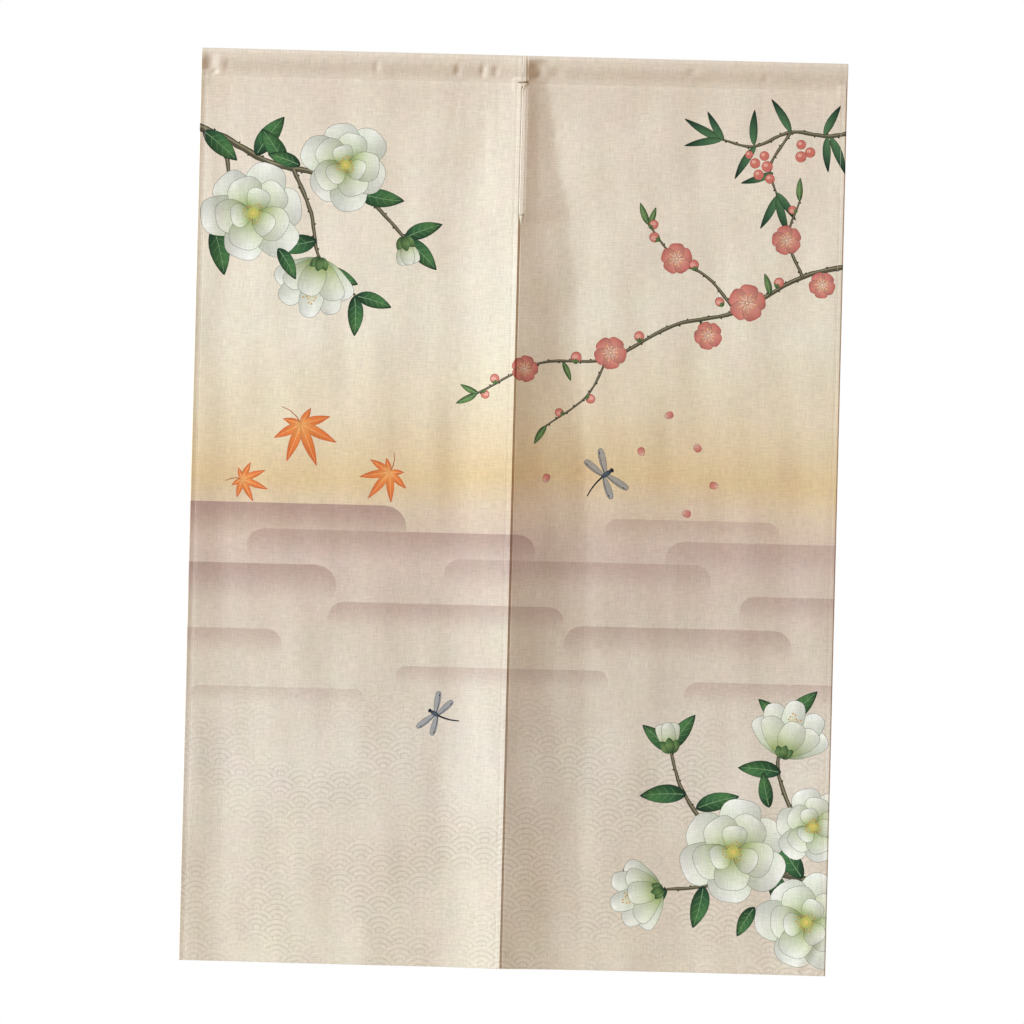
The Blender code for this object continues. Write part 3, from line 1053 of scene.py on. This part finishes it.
# Show-through of the print on the back of the cloth
showThrough = {"strength": 0.30, "backColor": "#e2d9ca"}


def clothMesh(half):
    flatPoints, triangles, owner = flatMesh(half)
    u = flatPoints[:, 0] * millimetre
    v = flatPoints[:, 1] * millimetre + pocketSlackCloth
    middle = clothPlace(u, v, half)
    normal = clothNormal(clothPlace, u, v, half)
    outer = middle + 0.5 * cloth["thickness"] * normal
    inner = middle - 0.5 * cloth["thickness"] * normal
    count = len(outer)
    # Triangles wind so that the printed side faces out
    wrong = doubleArea(flatPoints[triangles]) > 0.0
    triangles[wrong] = triangles[wrong][:, ::-1]
    directed = sidesOf(triangles)
    forwardKeys = directed[:, 0].astype(np.int64) * count + directed[:, 1]
    backKeys = directed[:, 1].astype(np.int64) * count + directed[:, 0]
    rim = directed[~np.isin(forwardKeys, backKeys)]
    rimFaces = np.column_stack((rim[:, 1], rim[:, 0], rim[:, 0] + count, rim[:, 1] + count))
    faces = triangles.tolist() + (triangles[:, ::-1] + count).tolist() + rimFaces.tolist()
    mesh = bpy.data.meshes.new(half["name"] + "Cloth")
    mesh.from_pydata(np.vstack((outer, inner)).tolist(), [], faces)
    printed = paintCorners(flatPoints, triangles, owner)
    pale = linear(showThrough["backColor"])
    reverse = printed.reshape(-1, 3, 4)[:, ::-1].reshape(-1, 4).copy()
    reverse[:, :3] = blend(pale, reverse[:, :3], showThrough["strength"])
    reverse[:, 3] *= showThrough["strength"]
    rimColors = np.tile(np.append(pale, 0.0), (4 * len(rimFaces), 1))
    colors = mesh.color_attributes.new("print", "FLOAT_COLOR", "CORNER")
    colors.data.foreach_set("color", np.vstack((printed, reverse, rimColors)).ravel())
    flatUv = np.vstack((np.column_stack((u, v)),) * 2)
    loopVertex = np.zeros(len(mesh.loops), dtype=np.int32)
    mesh.loops.foreach_get("vertex_index", loopVertex)
    layer = mesh.uv_layers.new(name="flatCloth")
    layer.uv.foreach_set("vector", flatUv[loopVertex].ravel())
    mesh.shade_smooth()
    mesh.normals_split_custom_set_from_vertices(np.vstack((normal, -normal)).tolist())
    return mesh


def addNode(tree, name, kind, settings, inputs):
    # inputs feed a socket, by name or number, with a value or with an output: "node" or "node.output"
    node = tree.nodes.new(kind)
    node.name = name
    for attribute, value in settings.items():
        setattr(node, attribute, value)
    for socket, source in inputs.items():
        if isinstance(source, str):
            giver, _, output = source.partition(".")
            tree.links.new(tree.nodes[giver].outputs[output or 0], node.inputs[socket])
        else:
            node.inputs[socket].default_value = source


def makeMaterial(name, values):
    material = bpy.data.materials.new(name)
    material.use_nodes = True
    for socket, value in values.items():
        material.node_tree.nodes["Principled BSDF"].inputs[socket].default_value = value
    return material


def addItem(name, data):
    item = bpy.data.objects.new(name, data)
    bpy.context.scene.collection.objects.link(item)
    return item


def build(name, mesh, material):
    item = addItem(name, mesh)
    mesh.materials.append(material)
    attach(item, "root")
    return item


# Slub linen-look plain weave, printed in the piece: matt, with uneven threads both ways. The yarns
# are about 0.5 mm apart; the hatch is drawn at about 2 mm, as coarse as it shows at this distance.
weaveLook = {
    "warpScale": (680.0, 78.0, 1.0),
    "weftScale": (66.0, 620.0, 1.0),
    "slubScale": (150.0, 9.0, 1.0),
    "mottleScale": 26.0,
    "hatch": (0.90, 1.09),
    "slub": (0.978, 1.022),
    "mottle": 0.075,
    "bump": 0.00025,
    "shader": {
        "Roughness": 0.9,
        "IOR": 1.46,
        "Specular IOR Level": 0.25,
        "Sheen Weight": 0.1,
        "Sheen Roughness": 0.5,
    },
}

# Overlapping wave scales, an old repeat, in faint rings toward the hem
waves = {
    "perRadius": 1.0 / 0.027,
    "ring": (0.020, 0.050),
    "depth": 0.17,
    "patchScale": 9.0,
    "patch": (0.40, 0.58),
    "begins": (0.80, 0.93),
}

# name, operation, inputs: distance is taken from the centre of the scale that lies on top
weaveMath = [
    ("across", "MULTIPLY", "parts.X", waves["perRadius"]),
    ("down", "MULTIPLY", "parts.Y", 2.0 * waves["perRadius"]), ("row", "FLOOR", "down"),
    ("part", "FRACT", "down"), ("parity", "MODULO", "row", 2.0),
    ("shifted", "SUBTRACT", "across", "parity"), ("dxNear", "PINGPONG", "shifted", 1.0),
    ("dxFar", "SUBTRACT", 1.0, "dxNear"), ("halfPart", "MULTIPLY", "part", 0.5),
    ("dyNear", "SUBTRACT", 1.0, "halfPart"), ("dyFar", "SUBTRACT", 0.5, "halfPart"),
    ("dxNearSquare", "MULTIPLY", "dxNear", "dxNear"), ("dyNearSquare", "MULTIPLY", "dyNear", "dyNear"),
    ("dxFarSquare", "MULTIPLY", "dxFar", "dxFar"), ("dyFarSquare", "MULTIPLY", "dyFar", "dyFar"),
    ("nearSquare", "ADD", "dxNearSquare", "dyNearSquare"),
    ("farSquare", "ADD", "dxFarSquare", "dyFarSquare"), ("isNear", "LESS_THAN", "nearSquare", 1.0),
    ("excess", "SUBTRACT", "nearSquare", "farSquare"), ("chosen", "MULTIPLY", "isNear", "excess"),
    ("square", "ADD", "farSquare", "chosen"), ("distance", "SQRT", "square"),
    ("fromRing", "PINGPONG", "distance", 0.125), ("hatch", "ADD", "warp", "weft"),
]
toneMath = [
    ("inked", "MULTIPLY", "ring", "lower"), ("patched", "MULTIPLY", "inked", "patch"),
    ("masked", "MULTIPLY", "patched", "inkPrint.Alpha"), ("waveTone", "SUBTRACT", 1.0, "masked"),
    ("clothTone", "MULTIPLY", "hatchTone", "slubTone"), ("tone", "MULTIPLY", "waveTone", "clothTone"),
]
# name, source, range it comes in, range it goes to
toneRanges = [
    ("ring", "fromRing", waves["ring"], (1.0, 0.0)),
    ("lower", "parts.Y", waves["begins"], (0.0, waves["depth"])),
    ("patch", "patches", waves["patch"], (0.25, 1.0)),
    ("hatchTone", "hatch", (0.72, 1.28), weaveLook["hatch"]),
    ("slubTone", "slub", (0.3, 0.7), weaveLook["slub"]),
]


def printedWeave():
    material = makeMaterial("printedSlubWeave", weaveLook["shader"])
    tree = material.node_tree
    addNode(tree, "inkPrint", "ShaderNodeAttribute", {"attribute_name": "print"}, {})
    addNode(tree, "place", "ShaderNodeUVMap", {"uv_map": "flatCloth"}, {})
    addNode(tree, "parts", "ShaderNodeSeparateXYZ", {}, {"Vector": "place"})
    for name, detail in (("warp", 2.0), ("weft", 2.0), ("slub", 1.0)):
        stretch = {"Vector": "place", "Scale": weaveLook[name + "Scale"]}
        addNode(tree, name + "Place", "ShaderNodeMapping", {}, stretch)
        noise = {"Vector": name + "Place", "Scale": 1.0, "Detail": detail}
        addNode(tree, name, "ShaderNodeTexNoise", {}, noise)
    patches = {"Vector": "place", "Scale": waves["patchScale"], "Detail": 1.0}
    addNode(tree, "patches", "ShaderNodeTexNoise", {}, patches)
    mottle = {"Vector": "place", "Scale": weaveLook["mottleScale"], "Detail": 2.0}
    addNode(tree, "mottle", "ShaderNodeTexNoise", {}, mottle)
    for name, operation, *inputs in weaveMath:
        addNode(tree, name, "ShaderNodeMath", {"operation": operation}, dict(enumerate(inputs)))
    for name, source, comes, goes in toneRanges:
        # A map range takes the value, then the two ends of each range
        addNode(tree, name, "ShaderNodeMapRange", {}, dict(enumerate((source, *comes, *goes))))
    for name, operation, *inputs in toneMath:
        addNode(tree, name, "ShaderNodeMath", {"operation": operation}, dict(enumerate(inputs)))
    # The yarn takes the dye unevenly, a little pinker here and yellower there
    uneven = {0: "mottle.Color", 1: (weaveLook["mottle"],) * 3, 2: (1.0 - 0.5 * weaveLook["mottle"],) * 3}
    for name, operation, inputs in (
        ("dyed", "MULTIPLY_ADD", uneven),
        ("printed", "MULTIPLY", {0: "inkPrint.Color", 1: "dyed"}),
        ("toned", "SCALE", {0: "printed", "Scale": "tone"}),
    ):
        addNode(tree, name, "ShaderNodeVectorMath", {"operation": operation}, inputs)
    threads = {"Height": "hatch", "Strength": 0.4, "Distance": weaveLook["bump"]}
    addNode(tree, "bump", "ShaderNodeBump", {}, threads)
    for socket, source in (("Base Color", "toned"), ("Normal", "bump")):
        tree.links.new(tree.nodes[source].outputs[0], tree.nodes["Principled BSDF"].inputs[socket])
    return material


weave = printedWeave()
for half in halves:
    piece = build(half["name"] + "Cloth", clothMesh(half), weave)
    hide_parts(half["name"] + "_panel", half["name"] + "_heading")
    half["cloth"] = piece
    print("stage:", piece.name, len(piece.data.polygons), "faces")


# Cotton thread of the seams: lockstitch shows on the face and on the back, each stitch sunk at its ends
thread = {
    "radius": 0.0002,
    "pitch": 0.0032,
    "long": 0.0026,
    "sides": 5,
    "color": "#e6dbc8",
    "tackColor": "#ab977c",
}


def facePoint(half, u, v, lift):
    middle = clothPlace(u, v, half)
    normal = clothNormal(clothPlace, u, v, half)
    return middle + (0.5 * cloth["thickness"] + lift)[..., None] * normal, normal


def threadTubes(path, normal):
    # path and normal are threads x stations x 3; each thread is a closed tube
    run = np.gradient(path, axis=1)
    side = np.cross(run, normal)
    side /= np.linalg.norm(side, axis=-1, keepdims=True)
    turn = 2.0 * pi * np.arange(thread["sides"]) / thread["sides"]
    around = np.cos(turn)[:, None] * side[:, :, None] + np.sin(turn)[:, None] * normal[:, :, None]
    points = path[:, :, None] + thread["radius"] * around
    sides = thread["sides"]
    stations = path.shape[1]
    faces = [tuple(range(sides))[::-1], tuple(range((stations - 1) * sides, stations * sides))]
    for station in range(stations - 1):
        for k in range(sides):
            n = (k + 1) % sides
            low = station * sides
            faces.append((low + k, low + n, low + sides + n, low + sides + k))
    step = stations * sides
    everyFace = [tuple(c + step * number for c in face) for number in range(len(path)) for face in faces]
    return points.reshape(-1, 3), everyFace


def stitchRow(half, start, end):
    start = np.array(start)
    end = np.array(end)
    count = int(np.linalg.norm(end - start) / thread["pitch"])
    share = 0.5 * thread["long"] / thread["pitch"]
    t = (np.arange(count)[:, None] + 0.5 + np.array((-share, 0.0, share))) / count
    u = blend(start[0], end[0], t)
    v = blend(start[1], end[1], t)
    lift = np.broadcast_to(thread["radius"] * np.array((-0.5, 0.7, -0.5)), u.shape)
    return threadTubes(*facePoint(half, u, v, lift))


def threadMesh(name, parts):
    points = []
    faces = []
    for part, partFaces in parts:
        first = sum(len(p) for p in points)
        points.append(part)
        faces += [tuple(first + c for c in face) for face in partFaces]
    mesh = bpy.data.meshes.new(name)
    mesh.from_pydata(np.vstack(points).tolist(), [], faces)
    mesh.shade_smooth()
    return mesh


def backOf(half, x):
    # Flat place on a turned side hem that lies behind x
    turn = pi * cloth["bendRadius"]
    if x < 0.5 * (half["left"] + half["right"]):
        return half["turnLeft"] - turn - (x - half["turnLeft"])
    return half["turnRight"] + turn + (half["turnRight"] - x)


def seamRows(half):
    inset = cloth["sideHem"] - cloth["sideStitchIn"]
    low, high = half["turnLeft"] + 0.0012, half["turnRight"] - 0.0012
    bottom = half["turnBottom"] - cloth["bottomHem"] + cloth["bottomStitchIn"]
    bottomBack = 2.0 * half["turnBottom"] + pi * cloth["bendRadius"] - bottom
    rows = []
    for x in (half["left"] + inset, half["right"] - inset):
        rows.append(((x, 0.004), (x, half["turnBottom"] - 0.001)))
        rows.append(((backOf(half, x), 0.004), (backOf(half, x), bottom - 0.004)))
    seam = seamLength - cloth["pocketStitchUp"]
    rows += [((low, v), (high, v)) for v in (bottom, bottomBack, seam, -seam)]
    # Two rows hold the lap down to where the slit begins
    joined = np.interp(hang["sewnDrop"], profileDrop, profileLength)
    x = splitX + hang["joinGroove"]["offset"] if half["isRight"] else splitX - 0.0016
    rows.append(((x, seamLength + 0.004), (x, joined)))
    return rows


def tackPoint(x, drop, lift):
    half = halves[1] if x > splitX else halves[0]
    u = x
    start, reach = takenIn
    if half["isRight"] and drop < pocketDrop:
        u = lapEdge + (x - start) * (reach - lapEdge) / (reach - start)
    v = np.interp(drop, profileDrop, profileLength)
    place, normal = facePoint(half, np.array([u]), np.array([v]), np.array([lift]))
    return place[0], normal[0]


def barTack(left, right, drop, tall, count):
    # Threads laid close to and fro across the join, bridging the groove at the split
    near, far = splitX - 0.0011, splitX + 0.0012
    stations = [
        (left, -0.0001),
        (0.5 * (left + near), 0.0003),
        (near, 0.0002),
        (far, 0.0002),
        (0.5 * (far + right), 0.0003),
        (right, -0.0001),
    ]
    path = []
    normals = []
    for k in range(count):
        down = drop + tall * ((k + 0.5) / count - 0.5)
        row = [tackPoint(x, down + 0.0002 * sin(2.0 * k + n), lift) for n, (x, lift) in enumerate(stations)]
        path.append([place for place, _ in row])
        normals.append([normal for _, normal in row])
    return threadTubes(np.array(path), np.array(normals))


# Spun cotton, mercerised: a soft low gloss along each stitch
def cottonThread(name, color):
    cotton = {"Base Color": (*linear(color), 1.0), "Roughness": 0.6, "IOR": 1.46, "Sheen Weight": 0.2}
    return makeMaterial(name, cotton)


seamThread = cottonThread("creamCottonThread", thread["color"])
tackThread = cottonThread("tanCottonThread", thread["tackColor"])
for half in halves:
    parts = [stitchRow(half, start, end) for start, end in seamRows(half)]
    if half["isRight"]:
        # A small tack stops the slit
        parts.append(barTack(-0.0074, 0.0030, 0.2100, 0.0012, 4))
    mesh = threadMesh(half["name"] + "Stitches", parts)
    half["stitches"] = [build(half["name"] + "Stitches", mesh, seamThread)]
tack = threadMesh("joinTack", [barTack(-0.0097, 0.0048, 0.0356, 0.0020, 7)])
halves[0]["stitches"].append(build("joinTack", tack, tackThread))
print("stage: stitches")


# Camera face on, with the slight roll of the photograph
cameraSetup = {
    "lens": 200.0,
    "pixel": 0.001315,
    "photoSide": 1024,
    "centerPixel": (513.5, 511.75),
    "roll": 1.45,
}


def addCamera():
    roll = radians(cameraSetup["roll"])
    data = bpy.data.cameras.new("camera")
    data.lens = cameraSetup["lens"]
    pixel = cameraSetup["pixel"]
    distance = cameraSetup["photoSide"] * pixel * data.lens / data.sensor_width
    dx, dy = (0.5 * cameraSetup["photoSide"] - place for place in cameraSetup["centerPixel"])
    x = (dx * cos(roll) + dy * sin(roll)) * pixel
    z = -0.5 * curtainDrop - (dy * cos(roll) - dx * sin(roll)) * pixel
    camera = addItem("camera", data)
    turned = Matrix.Rotation(0.5 * pi, 4, "X") @ Matrix.Rotation(roll, 4, "Z")
    camera.matrix_world = Matrix.Translation((x, -distance, z)) @ turned
    bpy.context.scene.camera = camera


studio = {
    "skyStrength": 0.32,
    "skyColor": (1.0, 0.60, 0.31, 1.0),
    "keyColor": (0.69, 0.828, 0.93),
    # name, place, size and power of each soft light
    "lights": [
        ("keyLight", (-12.4, -4.51, 4.13), 2.4, 4200.0),
        ("backLight", (5.0, 11.0, 4.0), 4.0, 1500.0),
    ],
    "aim": (0.0, 0.0, -0.6),
    "floorDrop": 2.0,
    "floorRadius": 2.6,
    "floorSides": 64,
    "floorColor": "#efece6",
}


def addStudio():
    world = bpy.data.worlds.new("studio")
    bpy.context.scene.world = world
    world.use_nodes = True
    tree = world.node_tree
    tree.nodes.clear()
    sky = {"Color": studio["skyColor"], "Strength": studio["skyStrength"]}
    for name, kind, inputs in (
        ("seenWhite", "Background", {"Color": (1.0, 1.0, 1.0, 1.0), "Strength": 1.0}),
        ("sky", "Background", sky),
        ("path", "LightPath", {}),
        ("seen", "MixShader", {"Fac": "path.Is Camera Ray", 1: "sky", 2: "seenWhite"}),
        ("output", "OutputWorld", {"Surface": "seen"}),
    ):
        addNode(tree, name, "ShaderNode" + kind, {}, inputs)
    for name, place, size, power in studio["lights"]:
        data = bpy.data.lights.new(name, "AREA")
        data.shape = "DISK"
        data.size = size
        data.energy = power
        data.color = studio["keyColor"]
        light = addItem(name, data)
        light.location = place
        light.rotation_euler = (Vector(studio["aim"]) - Vector(place)).to_track_quat("-Z", "Y").to_euler()
    bpy.context.scene.view_settings.view_transform = "Standard"
    bpy.context.scene.view_settings.look = "None"


def addFloor():
    mesh = bpy.data.meshes.new("floor")
    radius, drop, sides = (studio[name] for name in ("floorRadius", "floorDrop", "floorSides"))
    turns = [2.0 * pi * k / sides for k in range(sides)]
    ring = [(radius * cos(turn), radius * sin(turn), -drop) for turn in turns]
    mesh.from_pydata(ring, [], [list(range(sides))])
    matt = {"Base Color": (*linear(studio["floorColor"]), 1.0), "Roughness": 0.8}
    mesh.materials.append(makeMaterial("paleFloorPaint", matt))
    addItem("floor", mesh)


addCamera()
addStudio()
addFloor()
print("stage: camera, light and floor")

print("stage: done")
